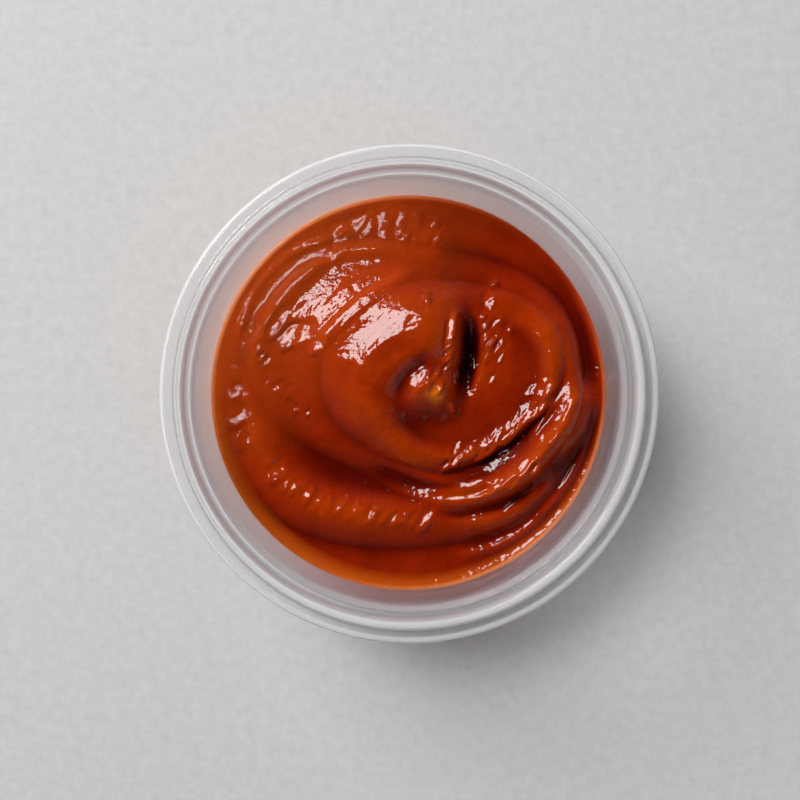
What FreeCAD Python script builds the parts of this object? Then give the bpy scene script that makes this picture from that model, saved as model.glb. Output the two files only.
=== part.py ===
import FreeCAD, Part
import Sketcher
import math
import os

# A clear plastic portion cup, part filled with a thick chilli sauce that was piped in a coil.
# Millimetres, +Z up. The origin is the middle of the ring that the cup stands on.

V = FreeCAD.Vector

# ---------------------------------------------------------------- driving sizes

CUP_SIZES = {
    "rim_diameter": 62.0,       # over the turned-down lip
    "cup_height": 30.0,
    "foot_diameter": 43.5,      # outside of the ring that the cup stands on
    "wall_taper": 12.0,         # degrees from upright
    "wall_thick": 0.4,
    "foot_ring_width": 2.0,
    "base_recess": 0.9,         # the base stands this far above the foot ring
    "recess_flare": 0.6,        # how far the recess's side leans
    "foot_corner": 0.9,         # rounding under the wall, and inside it
    "floor_corner": 0.6,
    "ledge_drop": 3.3,          # from the top of the cup down to the stacking ledge
    "ledge_width": 0.6,
    "seat_lean": 0.4,           # lean of the band above the ledge, which a lid grips
    "bead_width": 1.3,          # rounded bead between the band and the flat brim
    "bead_height": 0.7,
    "rim_thick": 0.4,           # bead, brim and lip
    "lip_drop": 1.9,            # from the top of the cup down to the lip's edge
    "bead_corner": 0.55,
    "brim_corner": 0.35,
}

SAUCE_SIZES = {
    "sauce_level": 17.3,        # where the sauce meets the wall, above the table
    "coil_reach": 25.0,         # inside radius that the coils below are drawn for
    "wall_creep": 0.45,         # how far the sauce clings up the wall
    "creep_width": 0.9,
    "skin_spacing": 0.9,        # spacing of the heights that the top skin passes through
    "skin_margin": 2.0,         # the skin runs this far past the wall before it is trimmed
}

# The sauce was piped in three turns, each lying on the one before it. Each turn's outline is
# a rounded path about its own middle: radius, then waves of one, two, three and four to the
# turn, each with its height and the heading of its crest in degrees from +X. "rise" is how
# far the turn stands above what it lies on, "flank" how far in from its edge its crest is,
# and "dip" how far its back falls behind the crest. Each of those three swings by its second
# number toward the heading given third.
TURNS = [
    {
        "name": "outer",
        "middle": (-0.4, 2.0),
        "radius": 23.2,
        "waves": [(0.43, -105.0), (1.15, 26.0), (0.44, -106.0), (0.26, 177.0)],
        "rise": (1.2, 1.2, -75.0),
        "flank": (4.4, 0.9, -110.0),
        "dip": (0.8, 0.8, -90.0),
        "dip_reach": 6.0,
    },
    {
        "name": "middle",
        "middle": (0.8, 3.4),
        "radius": 18.9,
        "waves": [(0.48, -30.0), (3.10, -33.0), (0.63, 118.0), (0.26, 77.0)],
        "rise": (2.1, 0.5, 145.0),
        "flank": (6.7, 5.0, 155.0),
        "dip": (0.6, 0.6, -60.0),
        "dip_reach": 5.0,
    },
    {
        "name": "inner",
        "middle": (4.1, 2.3),
        "radius": 13.6,
        "waves": [(0.26, 62.0), (1.66, 15.0), (0.40, 83.0), (0.37, 40.0)],
        "rise": (1.9, 0.2, 190.0),
        "flank": (4.2, 3.1, 140.0),
        "dip": (0.25, 0.4, -60.0),
        "dip_reach": 2.2,
    },
]

# Ridges and furrows that the strand left: the points that its line passes through, its
# half width, its height (a furrow's is negative), the share of its length over which it
# fades in and out, and how squarely its sides fall (2 is a bell).
STRANDS = [
    {"name": "crevice", "line": [(6.9, 11.0), (7.7, 8.6), (7.8, 5.6), (7.3, 2.6), (6.4, -1.6)],
     "width": 1.2, "height": -2.2, "fade": (0.40, 0.40), "power": 2.6},
    {"name": "crevice_slope", "line": [(8.4, 13.0), (8.0, 9.0), (7.4, 4.0), (6.8, 0.0)],
     "width": 3.4, "height": -1.1, "fade": (0.25, 0.40), "power": 2},
    {"name": "crevice_head", "line": [(8.0, 14.5), (12.0, 12.8), (17.0, 9.5)],
     "width": 6.5, "height": -1.4, "fade": (0.30, 0.30), "power": 2},
    {"name": "inner_shoulder", "line": [(-9.0, -2.5), (-4.5, 1.5), (-1.0, 4.8), (4.0, 8.4)],
     "width": 5.0, "height": 1.6, "fade": (0.40, 0.20), "power": 2},
    {"name": "last_strand", "line": [(3.8, 9.6), (4.9, 7.5), (4.9, 4.5), (4.2, 1.5)],
     "width": 6.0, "height": 1.7, "fade": (0.15, 0.35), "power": 2},
    {"name": "last_lip", "line": [(5.9, 11.2), (5.9, 8.5), (5.5, 5.5), (5.3, 2.8)],
     "width": 0.7, "height": 0.5, "fade": (0.30, 0.20), "power": 2},
    {"name": "tip_hollow", "line": [(-1.4, -1.0), (-0.6, 1.6), (1.6, 3.6), (4.0, 3.9)],
     "width": 1.2, "height": -0.8, "fade": (0.30, 0.30), "power": 2},
    {"name": "tip", "line": [(1.6, 0.0), (2.8, 0.1), (4.0, -0.3)],
     "width": 2.1, "height": 1.5, "fade": (0.08, 0.08), "power": 2.4},
    {"name": "tip_curl", "line": [(5.3, -1.4), (5.8, -2.6)],
     "width": 0.4, "height": 0.5, "fade": (0.30, 0.30), "power": 2},
    {"name": "middle_bank", "line": [(-11.4, 3.8), (-10.4, 7.0), (-7.4, 10.4), (-3.8, 13.0), (1.2, 15.4)],
     "width": 4.0, "height": 1.3, "fade": (0.20, 0.25), "power": 2},
    {"name": "middle_lip", "line": [(-11.6, 3.8), (-10.7, 7.2), (-7.7, 10.8), (-3.8, 13.5), (1.2, 15.8)],
     "width": 0.8, "height": 0.35, "fade": (0.10, 0.15), "power": 2},
    {"name": "middle_roll", "line": [(3.0, 16.9), (-3.0, 18.3), (-9.3, 17.9), (-12.8, 15.4), (-16.2, 12.0),
                                     (-18.4, 8.8), (-19.5, 5.6), (-19.5, 2.5), (-18.4, -0.6)],
     "width": 1.1, "height": 0.6, "fade": (0.25, 0.25), "power": 2},
    {"name": "right_strand", "line": [(23.0, 2.5), (22.0, -2.0), (19.9, -5.4), (16.0, -7.8)],
     "width": 2.0, "height": 1.9, "fade": (0.30, 0.30), "power": 2.4},
    {"name": "right_lip", "line": [(19.6, 0.2), (18.0, -1.8), (16.4, -4.1), (14.9, -6.6)],
     "width": 0.45, "height": 0.45, "fade": (0.30, 0.30), "power": 2},
    {"name": "lower_strand", "line": [(19.3, -7.6), (16.2, -9.8), (13.9, -11.6), (10.8, -13.2), (7.0, -14.4)],
     "width": 1.5, "height": 0.8, "fade": (0.30, 0.55), "power": 2.2},
    {"name": "lower_furrow", "line": [(17.8, -10.3), (14.6, -12.8), (10.9, -14.6), (6.0, -15.5), (1.2, -14.6)],
     "width": 0.7, "height": -0.6, "fade": (0.30, 0.30), "power": 2},
    {"name": "low_strand", "line": [(19.9, -9.6), (16.6, -13.2), (12.5, -16.0), (5.4, -17.6)],
     "width": 1.5, "height": 0.9, "fade": (0.30, 0.30), "power": 2},
    {"name": "wall_fold", "line": [(23.0, -3.2), (22.1, -7.4), (20.2, -11.4), (17.6, -14.8), (14.6, -17.7),
                                   (9.8, -20.0), (4.7, -20.7)],
     "width": 0.6, "height": 0.5, "fade": (0.20, 0.20), "power": 2},
    {"name": "top_crest", "line": [(-9.5, 18.9), (-4.0, 20.0), (0.5, 19.8), (3.9, 18.9)],
     "width": 3.0, "height": 1.2, "fade": (0.75, 0.10), "power": 2},
    {"name": "left_crest", "line": [(-20.0, 1.0), (-19.2, -3.0), (-19.0, -7.5)],
     "width": 2.8, "height": 0.5, "fade": (0.80, 0.20), "power": 2},
    {"name": "lower_crest", "line": [(-18.0, -9.4), (-13.5, -13.4), (-7.4, -16.1), (2.8, -17.6)],
     "width": 2.4, "height": 0.6, "fade": (0.40, 0.40), "power": 2},
    {"name": "lower_valley", "line": [(-16.0, -6.4), (-11.5, -10.0), (-5.4, -12.0), (1.0, -12.9), (6.1, -12.6),
                                      (10.2, -10.9)],
     "width": 2.8, "height": -0.8, "fade": (0.30, 0.40), "power": 2},
    {"name": "inner_crease", "line": [(-6.0, -8.4), (-2.0, -10.6), (2.1, -11.7), (6.2, -11.5), (10.2, -10.2),
                                      (14.3, -7.6)],
     "width": 0.9, "height": -0.7, "fade": (0.30, 0.40), "power": 2},
]


def add_sizes(doc, groups):
    """One spreadsheet row for each size: its name, its number and an alias to bind to."""
    sheet = doc.addObject("Spreadsheet::Sheet", "Sizes")
    sizes = [item for group in groups for item in group.items()]
    for row, (name, value) in enumerate(sizes, start=1):
        sheet.set("A%d" % row, name)
        sheet.set("B%d" % row, str(value))
        sheet.setAlias("B%d" % row, name)
    doc.recompute()
    return sheet


# ---------------------------------------------------------------- the cup

RADIUS_RIM = "Sizes.rim_diameter / 2"
RADIUS_FOOT = "Sizes.foot_diameter / 2"
TAPER = "tan(Sizes.wall_taper * 1 deg)"
WALL_ACROSS = "Sizes.wall_thick / cos(Sizes.wall_taper * 1 deg)"
TOP = "Sizes.cup_height"
LEDGE_Z = "(Sizes.cup_height - Sizes.ledge_drop)"
BRIM_Z = "(Sizes.cup_height - Sizes.bead_height)"
LIP_Z = "(Sizes.cup_height - Sizes.lip_drop)"
# A wall's two faces part by this much where the base steps down to the foot ring.
STEP_SLOPE = "sqrt(Sizes.recess_flare ^ 2 + Sizes.base_recess ^ 2)"
STEP_SHIFT = "Sizes.wall_thick * (%s - Sizes.recess_flare) / Sizes.base_recess" % STEP_SLOPE


def outer_wall(level):
    """Formula for the outside radius of the tapered wall at a level."""
    return "(%s + (%s) * %s)" % (RADIUS_FOOT, level, TAPER)


def inner_wall(level):
    return "(%s - %s)" % (outer_wall(level), WALL_ACROSS)


LEDGE_IN = inner_wall(LEDGE_Z)
LEDGE_OUT = "(%s + Sizes.ledge_width)" % LEDGE_IN
BEAD_IN = "(%s + Sizes.seat_lean)" % LEDGE_OUT
BEAD_OUT = "(%s + Sizes.bead_width)" % BEAD_IN
UNDER_LEDGE_Z = "(%s - Sizes.wall_thick)" % LEDGE_Z
RING_IN = "(%s - Sizes.foot_ring_width)" % RADIUS_FOOT
RECESS_IN = "(%s - Sizes.recess_flare)" % RING_IN
FLOOR_Z = "(Sizes.base_recess + Sizes.wall_thick)"

# The cup's section, from the middle of its floor out over the rim and back underneath.
CUP_SECTION = {
    "floor": ("0", FLOOR_Z),
    "floor_edge": ("%s + %s" % (RECESS_IN, STEP_SHIFT), FLOOR_Z),
    "gutter": ("%s + %s" % (RING_IN, STEP_SHIFT), "Sizes.wall_thick"),
    "wall_inside_foot": (inner_wall("Sizes.wall_thick"), "Sizes.wall_thick"),
    "ledge_inside": (LEDGE_IN, LEDGE_Z),
    "ledge_outside": (LEDGE_OUT, LEDGE_Z),
    "bead_inside": (BEAD_IN, TOP),
    "bead_outside": (BEAD_OUT, TOP),
    "brim_inside": (BEAD_OUT, BRIM_Z),
    "brim_outside": (RADIUS_RIM, BRIM_Z),
    "lip_outside": (RADIUS_RIM, LIP_Z),
    "lip_inside": ("%s - Sizes.rim_thick" % RADIUS_RIM, LIP_Z),
    "under_brim_outside": ("%s - Sizes.rim_thick" % RADIUS_RIM, "%s - Sizes.rim_thick" % BRIM_Z),
    "under_brim_inside": ("%s - Sizes.rim_thick" % BEAD_OUT, "%s - Sizes.rim_thick" % BRIM_Z),
    "under_bead_outside": ("%s - Sizes.rim_thick" % BEAD_OUT, "%s - Sizes.rim_thick" % TOP),
    "under_bead_inside": ("%s + Sizes.rim_thick" % BEAD_IN, "%s - Sizes.rim_thick" % TOP),
    "under_ledge_outside": ("%s + Sizes.rim_thick" % LEDGE_OUT, UNDER_LEDGE_Z),
    "under_ledge_inside": (outer_wall(UNDER_LEDGE_Z), UNDER_LEDGE_Z),
    "foot_outside": (RADIUS_FOOT, "0"),
    "foot_inside": (RING_IN, "0"),
    "recess_edge": (RECESS_IN, "Sizes.base_recess"),
    "recess": ("0", "Sizes.base_recess"),
}


def value_of(owner, formula):
    """The number that a formula of sheet sizes has now."""
    return float(owner.evalExpression(formula))


def pin(sketch, edge, end, corner):
    """Tie one end of an edge to its two formulas, measured from the origin."""
    for kind, formula in zip(("DistanceX", "DistanceY"), corner):
        number = value_of(sketch, formula)
        index = sketch.addConstraint(Sketcher.Constraint(kind, -1, 1, edge, end, number))
        sketch.setExpression("Constraints[%d]" % index, formula)


def closed_outline(body, name, corners):
    """A sketch on a body's XZ plane: straight edges round corners placed by formulas."""
    sketch = body.newObject("Sketcher::SketchObject", name)
    plane = [item for item in body.Origin.OriginFeatures if item.Role == "XZ_Plane"][0]
    sketch.AttachmentSupport = [(plane, "")]
    sketch.MapMode = "FlatFace"
    points = [V(value_of(sketch, x), value_of(sketch, z), 0) for x, z in corners]
    for start, finish in zip(points, points[1:] + points[:1]):
        sketch.addGeometry(Part.LineSegment(start, finish), False)
    count = len(points)
    for edge in range(count):
        following = (edge + 1) % count
        sketch.addConstraint(Sketcher.Constraint("Coincident", edge, 2, following, 1))
    for edge, corner in enumerate(corners):
        pin(sketch, edge, 1, corner)
    return sketch


def ring_edges(shape, places):
    """Names of the circular edges about Z that pass through the given (radius, z) places."""
    found = []
    for number, edge in enumerate(shape.Edges, start=1):
        curve = edge.Curve
        if not isinstance(curve, Part.Circle):
            continue
        for radius, level in places:
            if abs(curve.Radius - radius) < 0.01 and abs(curve.Center.z - level) < 0.01:
                found.append("Edge%d" % number)
    return found


def round_rings(body, base, name, corner_names, size_name):
    """Round the section's named corners, all with one size of the sheet."""
    places = []
    for corner in corner_names:
        x, z = CUP_SECTION[corner]
        places.append((value_of(base, x), value_of(base, z)))
    edges = ring_edges(base.Shape, places)
    fillet = body.newObject("PartDesign::Fillet", name)
    fillet.Base = (base, edges)
    fillet.setExpression("Radius", "Sizes.%s" % size_name)
    body.Document.recompute()
    return fillet


def make_cup(doc):
    body = doc.addObject("PartDesign::Body", "Cup")
    body.Label = "cup"
    sketch = closed_outline(body, "CupSection", list(CUP_SECTION.values()))
    turned = body.newObject("PartDesign::Revolution", "CupTurned")
    turned.Profile = sketch
    turned.ReferenceAxis = (sketch, ["V_Axis"])
    turned.Angle = 360.0
    doc.recompute()
    foot = round_rings(body, turned, "FootRounding", ["foot_outside"], "foot_corner")
    floor = round_rings(body, foot, "FloorRounding", ["wall_inside_foot"], "floor_corner")
    bead = round_rings(body, floor, "BeadRounding", ["bead_inside", "bead_outside"], "bead_corner")
    brim = round_rings(body, bead, "BrimRounding", ["brim_outside"], "brim_corner")
    body.Tip = brim
    body.Placement = FreeCAD.Placement()
    return body


# ---------------------------------------------------------------- the sauce

CROWN_SHARE = 0.45          # share of a turn's radius inside which its swings die away
FLANK_POWER = 1.5           # 1 makes a flank straight, 2 a parabola
BACK_START = 0.85           # a turn's back starts to fall at this share of its flank


def swing(mean_swing_heading, angle):
    """A size that swells toward one heading: its mean, its swing and that heading."""
    mean, amount, heading = mean_swing_heading
    return mean + amount * math.cos(angle - math.radians(heading))


def ease(share):
    """Smooth step from 0 to 1, held at both ends."""
    share = min(max(share, 0.0), 1.0)
    return share * share * (3 - 2 * share)


def turn_height(turn, x, y):
    """How far one turn of the coil raises the sauce at a point."""
    across = x - turn["middle"][0]
    along = y - turn["middle"][1]
    angle = math.atan2(along, across)
    reach = math.hypot(across, along)
    outline = turn["radius"]
    for count, (height, heading) in enumerate(turn["waves"], start=1):
        outline += height * math.cos(count * angle - math.radians(heading))
    inward = outline - reach
    # Near the middle the swings die away, so that the crown is smooth there.
    fade = ease(reach / (CROWN_SHARE * turn["radius"]))
    sizes = {}
    for name in ("rise", "flank", "dip"):
        mean, amount, heading = turn[name]
        sizes[name] = swing((mean, amount * fade, heading), angle)
    climbed = min(max(inward / sizes["flank"], 0.0), 1.0)
    crest = 1 - (1 - climbed) ** FLANK_POWER
    back = ease((inward - BACK_START * sizes["flank"]) / turn["dip_reach"])
    return sizes["rise"] * crest - sizes["dip"] * back


def smooth_line(points, steps):
    """Catmull-Rom curve through the points, as (x, y) at even steps."""
    first = (2 * points[0][0] - points[1][0], 2 * points[0][1] - points[1][1])
    last = (2 * points[-1][0] - points[-2][0], 2 * points[-1][1] - points[-2][1])
    knots = [first] + list(points) + [last]
    curve = []
    for before, start, finish, after in zip(knots, knots[1:], knots[2:], knots[3:]):
        for step in range(steps):
            share = step / steps
            place = []
            for p0, p1, p2, p3 in zip(before, start, finish, after):
                pull = 2 * p0 - 5 * p1 + 4 * p2 - p3
                bend = 3 * p1 - p0 - 3 * p2 + p3
                place.append(0.5 * (2 * p1 + (p2 - p0) * share + pull * share ** 2 + bend * share ** 3))
            curve.append(tuple(place))
    curve.append(tuple(points[-1]))
    return curve


class Strand:
    """A ridge or furrow along a smooth line, fading at its two ends."""

    STEPS = 6       # straight spans between two points of the line
    REACH = 3       # half widths past which it has died away

    def __init__(self, item):
        self.line = smooth_line(item["line"], self.STEPS)
        self.width = item["width"]
        self.height = item["height"]
        self.power = item["power"]
        lengths = [0.0]
        for start, finish in zip(self.line, self.line[1:]):
            lengths.append(lengths[-1] + math.dist(start, finish))
        fade_in, fade_out = item["fade"]
        self.strength = []
        for length in lengths:
            share = length / lengths[-1]
            self.strength.append(ease(share / fade_in) * ease((1 - share) / fade_out))

    def at(self, x, y):
        strongest = 0.0
        spans = zip(self.line, self.line[1:], self.strength, self.strength[1:])
        for start, finish, strength, following in spans:
            run_x = finish[0] - start[0]
            run_y = finish[1] - start[1]
            share = ((x - start[0]) * run_x + (y - start[1]) * run_y) / (run_x ** 2 + run_y ** 2)
            share = min(max(share, 0.0), 1.0)
            gap = math.hypot(x - start[0] - share * run_x, y - start[1] - share * run_y)
            if gap < self.REACH * self.width:
                here = strength + (following - strength) * share
                strongest = max(strongest, here * math.exp(-(gap / self.width) ** self.power))
        return self.height * strongest


def skin_height(sizes, strands, edge_radius, x, y):
    """Height of the sauce's top at a point, from the coil's turns and its strands."""
    scale = sizes.coil_reach / edge_radius
    drawn_x = x * scale
    drawn_y = y * scale
    height = sizes.sauce_level
    height += sum(turn_height(turn, drawn_x, drawn_y) for turn in TURNS)
    height += sum(strand.at(drawn_x, drawn_y) for strand in strands)
    from_wall = edge_radius - math.hypot(x, y)
    height += sizes.wall_creep * math.exp(-(from_wall / sizes.creep_width) ** 2)
    return height


def make_skin(sizes, edge_radius):
    """Smooth surface through a square field of heights that reaches past the wall."""
    strands = [Strand(item) for item in STRANDS]
    half = edge_radius + sizes.skin_margin
    count = int(round(2 * half / sizes.skin_spacing)) + 1
    places = [-half + 2 * half * number / (count - 1) for number in range(count)]
    field = []
    for x in places:
        field.append([V(x, y, skin_height(sizes, strands, edge_radius, x, y)) for y in places])
    surface = Part.BSplineSurface()
    surface.interpolate(field)
    return surface.toShape()


def make_sauce(doc, cup):
    """Everything inside the cup that lies below the skin."""
    sizes = doc.Sizes
    edge_radius = value_of(cup.Tip, inner_wall("Sizes.sauce_level"))
    skin = make_skin(sizes, edge_radius)
    below_skin = skin.extrude(V(0, 0, -2 * sizes.cup_height))
    column = Part.makeCylinder(sizes.rim_diameter / 2, sizes.cup_height)
    rooms = column.cut(cup.Shape).Solids
    middle = V(0, 0, sizes.cup_height / 2)
    room = [solid for solid in rooms if solid.isInside(middle, 0.001, True)][0]
    filled = room.common(below_skin)
    sauce = doc.addObject("Part::Feature", "Sauce")
    sauce.Label = "sauce"
    sauce.Shape = filled.Solids[0]
    sauce.Placement = FreeCAD.Placement()
    return sauce


# ---------------------------------------------------------------- build and write

def check(doc, parts):
    for item in doc.Objects:
        if "Invalid" in item.State or "Error" in item.State:
            raise RuntimeError("%s failed: %s" % (item.Name, item.State))
    for part in parts:
        if part.Shape.isNull() or not part.Shape.isValid():
            raise RuntimeError("%s has no valid shape" % part.Label)
        if len(part.Shape.Solids) != 1:
            raise RuntimeError("%s is not one solid" % part.Label)


def main():
    doc = FreeCAD.newDocument("PortionCup")
    add_sizes(doc, [CUP_SIZES, SAUCE_SIZES])
    cup = make_cup(doc)
    sauce = make_sauce(doc, cup)
    doc.recompute()
    parts = [cup, sauce]
    check(doc, parts)
    os.makedirs("parts", exist_ok=True)
    for part in parts:
        part.Shape.exportStep("parts/%s.step" % part.Label)
        box = part.Shape.BoundBox
        print("%s: volume %.0f mm3, z %.2f to %.2f" % (part.Label, part.Shape.Volume, box.ZMin, box.ZMax))


main()
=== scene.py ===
import math

import bpy
import numpy as np
from mathutils import Matrix, Vector


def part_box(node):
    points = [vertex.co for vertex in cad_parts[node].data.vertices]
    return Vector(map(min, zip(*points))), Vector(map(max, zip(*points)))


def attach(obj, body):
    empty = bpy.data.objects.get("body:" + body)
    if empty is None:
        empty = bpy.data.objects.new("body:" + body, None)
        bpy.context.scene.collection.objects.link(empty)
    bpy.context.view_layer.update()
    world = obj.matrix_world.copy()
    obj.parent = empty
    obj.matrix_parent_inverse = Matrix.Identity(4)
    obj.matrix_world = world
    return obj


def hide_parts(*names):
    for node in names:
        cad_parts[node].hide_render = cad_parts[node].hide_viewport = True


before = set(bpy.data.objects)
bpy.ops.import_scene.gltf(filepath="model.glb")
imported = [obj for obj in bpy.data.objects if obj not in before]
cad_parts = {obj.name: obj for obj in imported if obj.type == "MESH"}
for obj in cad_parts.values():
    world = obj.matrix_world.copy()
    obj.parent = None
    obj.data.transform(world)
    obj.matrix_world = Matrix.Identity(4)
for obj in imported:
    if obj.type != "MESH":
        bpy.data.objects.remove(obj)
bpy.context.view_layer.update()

MM = 0.001

# ---------------------------------------------------------------- sizes of the cup, in mm

# The rim's width and the height are the frame's own.
CUP_LOW, CUP_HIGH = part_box("cup")
RIM_R = (CUP_HIGH[0] - CUP_LOW[0]) / 2 / MM
TOP = CUP_HIGH[2] / MM

FOOT_R = 21.75
TAPER_ANGLE = math.radians(12.0)
TAPER = math.tan(TAPER_ANGLE)
WALL = 0.4
WALL_ACROSS = WALL / math.cos(TAPER_ANGLE)
FOOT_RING = 2.0
RECESS = 0.9                # the floor inside the foot ring is raised by this much
RECESS_FLARE = 0.6
LEDGE_Z = TOP - 3.3
LEDGE_WIDTH = 0.6
SEAT_LEAN = 0.4
BEAD_WIDTH = 1.3
BEAD_LEAN = 0.15
BRIM_Z = TOP - 0.7
RIM_THICK = 0.4
LIP_Z = TOP - 1.9

CUP_SECTORS = 240
ARC_STEPS = 5               # steps in each rounded corner of the profile

# ---------------------------------------------------------------- sizes of the sauce, in mm

SAUCE_LEVEL = 17.3
COIL_REACH = 25.0           # the figures of the coil are for a sauce of this radius
WALL_CREEP = 0.45           # how far the sauce climbs the wall
CREEP_WIDTH = 0.9
EDGE_FLARE = 0.10           # how much wider the wall is where that climb ends
INTO_WALL = 0.15            # the sauce reaches this far into the plastic, so that no gap shows
SLOPE_OUT = 0.27            # from the foot ring's inside to the raised floor's slope

RINGS = 168
SECTORS = 560
SIDE_STEPS = 4

# Three turns of the coil and the strand's ridges, as in the part itself. A wave has a height and
# a heading in degrees; rise, flank and dip have a mean, a swing and the swing's heading.
TURNS = [
    {"middle": (-0.4, 2.0), "radius": 23.2, "reach": 6.0,
     "waves": [(0.43, -105.0), (1.15, 26.0), (0.44, -106.0), (0.26, 177.0)],
     "rise": (1.2, 1.2, -75.0), "flank": (4.4, 0.9, -110.0), "dip": (0.8, 0.8, -90.0)},
    {"middle": (0.8, 3.4), "radius": 18.9, "reach": 5.0,
     "waves": [(0.48, -30.0), (3.10, -33.0), (0.63, 118.0), (0.26, 77.0)],
     "rise": (2.1, 0.5, 145.0), "flank": (6.7, 5.0, 155.0), "dip": (0.6, 0.6, -60.0)},
    {"middle": (4.1, 2.3), "radius": 13.6, "reach": 2.2,
     "waves": [(0.26, 62.0), (1.66, 15.0), (0.40, 83.0), (0.37, 40.0)],
     "rise": (1.9, 0.2, 190.0), "flank": (4.2, 3.1, 140.0), "dip": (0.25, 0.4, -60.0)},
]
CROWN_SHARE = 0.45          # within this share of a turn's radius, its swings fade out
FLANK_POWER = 1.5
BACK_START = 0.85           # the dip starts this far up the flank

# Ridges and furrows: line, half width, height, fade in, fade out, edge power.
STRANDS = [
    ([(6.9, 11.0), (7.7, 8.6), (7.8, 5.6), (7.3, 2.6), (6.4, -1.6)], 1.2, -2.2, 0.40, 0.40, 2.6),
    ([(8.4, 13.0), (8.0, 9.0), (7.4, 4.0), (6.8, 0.0)], 3.4, -1.1, 0.25, 0.40, 2),
    ([(8.0, 14.5), (12.0, 12.8), (17.0, 9.5)], 6.5, -1.4, 0.30, 0.30, 2),
    ([(-9.0, -2.5), (-4.5, 1.5), (-1.0, 4.8), (4.0, 8.4)], 5.0, 1.6, 0.40, 0.20, 2),
    ([(3.8, 9.6), (4.9, 7.5), (4.9, 4.5), (4.2, 1.5)], 6.0, 1.7, 0.15, 0.35, 2),
    ([(5.9, 11.2), (5.9, 8.5), (5.5, 5.5), (5.3, 2.8)], 0.7, 0.5, 0.30, 0.20, 2),
    ([(-1.4, -1.0), (-0.6, 1.6), (1.6, 3.6), (4.0, 3.9)], 1.2, -0.8, 0.30, 0.30, 2),
    ([(1.6, 0.0), (2.8, 0.1), (4.0, -0.3)], 2.1, 1.5, 0.08, 0.08, 2.4),
    ([(5.3, -1.4), (5.8, -2.6)], 0.4, 0.5, 0.30, 0.30, 2),
    ([(-11.4, 3.8), (-10.4, 7.0), (-7.4, 10.4), (-3.8, 13.0), (1.2, 15.4)],
     4.0, 1.3, 0.20, 0.25, 2),
    ([(-11.6, 3.8), (-10.7, 7.2), (-7.7, 10.8), (-3.8, 13.5), (1.2, 15.8)],
     0.8, 0.35, 0.10, 0.15, 2),
    ([(23.0, 2.5), (22.0, -2.0), (19.9, -5.4), (16.0, -7.8)], 2.0, 1.9, 0.30, 0.30, 2.4),
    ([(19.6, 0.2), (18.0, -1.8), (16.4, -4.1), (14.9, -6.6)], 0.45, 0.45, 0.30, 0.30, 2),
    ([(19.3, -7.6), (16.2, -9.8), (13.9, -11.6), (10.8, -13.2), (7.0, -14.4)],
     1.5, 0.8, 0.30, 0.55, 2.2),
    ([(17.8, -10.3), (14.6, -12.8), (10.9, -14.6), (6.0, -15.5), (1.2, -14.6)],
     0.7, -0.6, 0.30, 0.30, 2),
    ([(19.9, -9.6), (16.6, -13.2), (12.5, -16.0), (5.4, -17.6)], 1.5, 0.9, 0.30, 0.30, 2),
    ([(23.0, -3.2), (22.1, -7.4), (20.2, -11.4), (17.6, -14.8), (14.6, -17.7), (9.8, -20.0),
      (4.7, -20.7)], 0.6, 0.5, 0.20, 0.20, 2),
    ([(3.0, 16.9), (-3.0, 18.3), (-9.3, 17.9), (-12.8, 15.4), (-16.2, 12.0), (-18.4, 8.8),
      (-19.5, 5.6), (-19.5, 2.5), (-18.4, -0.6)], 1.1, 0.6, 0.25, 0.25, 2),
    ([(-9.5, 18.9), (-4.0, 20.0), (0.5, 19.8), (3.9, 18.9)], 3.0, 1.2, 0.75, 0.10, 2),
    ([(-20.0, 1.0), (-19.2, -3.0), (-19.0, -7.5)], 2.8, 0.5, 0.80, 0.20, 2),
    ([(-18.0, -9.4), (-13.5, -13.4), (-7.4, -16.1), (2.8, -17.6)], 2.4, 0.6, 0.40, 0.40, 2),
    ([(-16.0, -6.4), (-11.5, -10.0), (-5.4, -12.0), (1.0, -12.9), (6.1, -12.6), (10.2, -10.9)],
     2.8, -0.8, 0.30, 0.40, 2),
    ([(-6.0, -8.4), (-2.0, -10.6), (2.1, -11.7), (6.2, -11.5), (10.2, -10.2), (14.3, -7.6)],
     0.9, -0.7, 0.30, 0.40, 2),
]

# Places where the soft surface leans its own way: line, half width, the lean's X and Y, share.
LEANS = [
    ([(-8.6, 3.2), (-6.6, 6.0), (-4.0, 8.2), (-1.4, 10.0)], 1.8, (-0.27, 0.30), 1.0),
    ([(-6.6, 0.6), (-4.9, 3.4), (-2.9, 5.4), (-0.4, 6.9), (2.2, 7.6)], 1.3, (-0.02, 0.04), 1.0),
    ([(-10.4, 19.6), (-7.2, 21.0), (-3.6, 22.0), (-0.4, 22.2)], 1.6, (-0.27, 0.28), 1.0),
    ([(-11.8, 4.6), (-10.4, 7.5), (-7.8, 10.3), (-4.6, 12.7), (-1.0, 14.4)],
     1.1, (-0.29, 0.29), 1.0),
    ([(-2.0, -11.2), (3.0, -12.2), (7.2, -12.1), (10.6, -11.2)], 1.1, (0.02, 0.02), 1.0),
    ([(-21.0, 6.6), (-18.7, 12.4), (-14.6, 16.8), (-9.0, 18.8)], 1.3, (-0.08, 0.10), 0.9),
]
LEAN_FADE = 0.1             # share of the line over which a lean comes and goes
SLOPE_STEP = 0.25

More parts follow.
